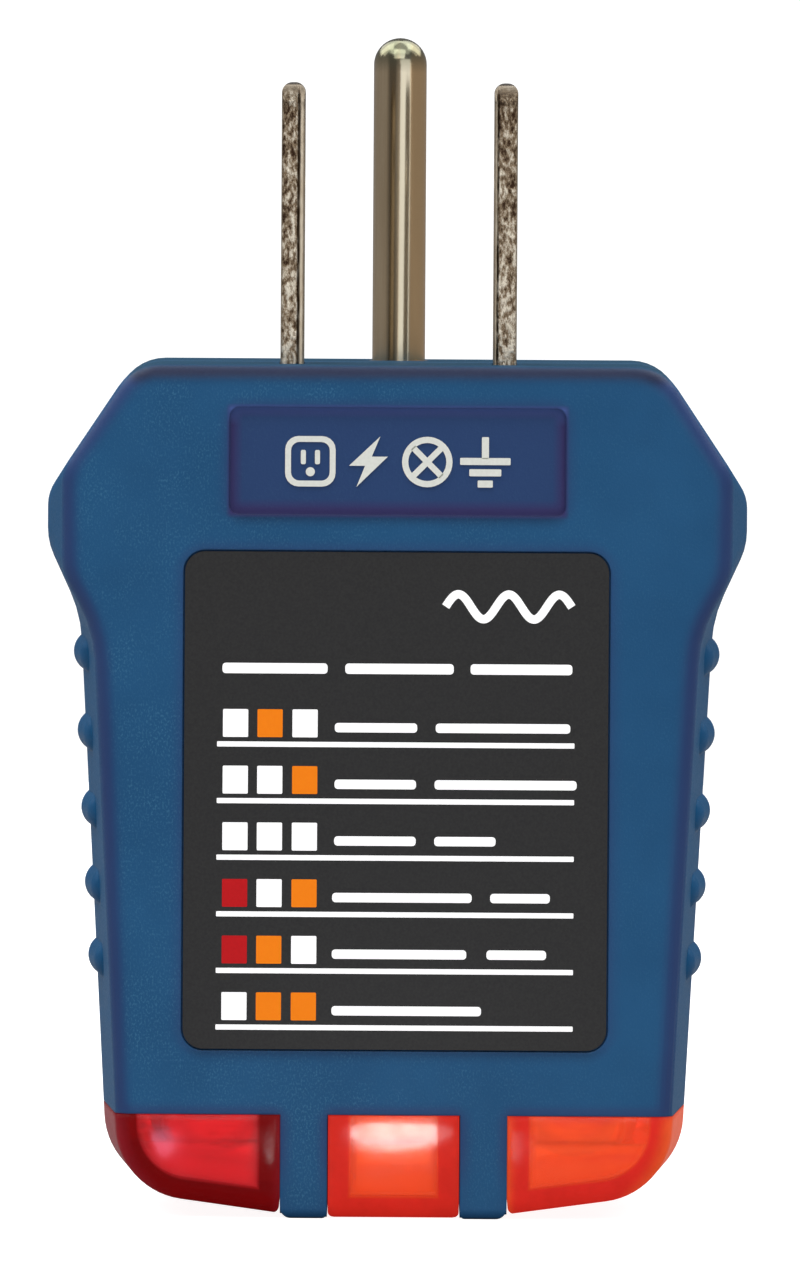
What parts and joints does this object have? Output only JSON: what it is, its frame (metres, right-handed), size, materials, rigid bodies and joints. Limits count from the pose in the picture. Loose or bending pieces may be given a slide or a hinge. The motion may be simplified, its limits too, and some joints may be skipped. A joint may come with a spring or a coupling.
{
  "type": "outlet tester plug",
  "caption": "Three-prong plug-in outlet tester: moulded case with grip ribs and label, red and amber lamp lenses at its foot, two blades and a round ground pin.",
  "frame": {"origin": "centre of the prong face, on the parting line between the two case halves", "axes": "+Z out along the prongs, -Y out of the labelled front, +X across the label to the side amber lens"},
  "size_m": [0.0422, 0.026, 0.0703],
  "materials": {
    "case_blue": "fine matte moulded texture",
    "label_grey": "satin printed label",
    "lens_red": "polished tinted clear plastic",
    "lens_amber": "polished tinted clear plastic",
    "prong_metal": "nickel-plated, satin",
    "carrier_black": "moulded",
    "board_tan": "bare phenolic board",
    "bulb_glass": "clear",
    "electrode_metal": "plain wire",
    "resistor_body": "lacquered",
    "wire_black": "smooth insulation",
    "wire_white": "smooth insulation",
    "wire_green": "smooth insulation",
    "solder": "bright solder",
    "screw_steel": "zinc-plated"
  },
  "bodies": {
    "root": {"front_housing": "case_blue", "rear_housing": "case_blue", "label_plate": "label_grey", "lens_red": "lens_red", "lens_amber_middle": "lens_amber", "lens_amber_side": "lens_amber", "hot_blade": "prong_metal", "neutral_blade": "prong_metal", "ground_pin": "prong_metal", "prong_carrier": "carrier_black", "circuit_board": "board_tan", "neon_bulb_red": "bulb_glass", "neon_bulb_middle": "bulb_glass", "neon_bulb_side": "bulb_glass", "electrodes_red": "electrode_metal", "electrodes_middle": "electrode_metal", "electrodes_side": "electrode_metal", "resistor_red": "resistor_body", "resistor_middle": "resistor_body", "resistor_side": "resistor_body", "hot_wire": "wire_black", "neutral_wire": "wire_white", "ground_wire": "wire_green", "solder_joints": "solder", "case_screws": "screw_steel"}
  },
  "joints": []
}
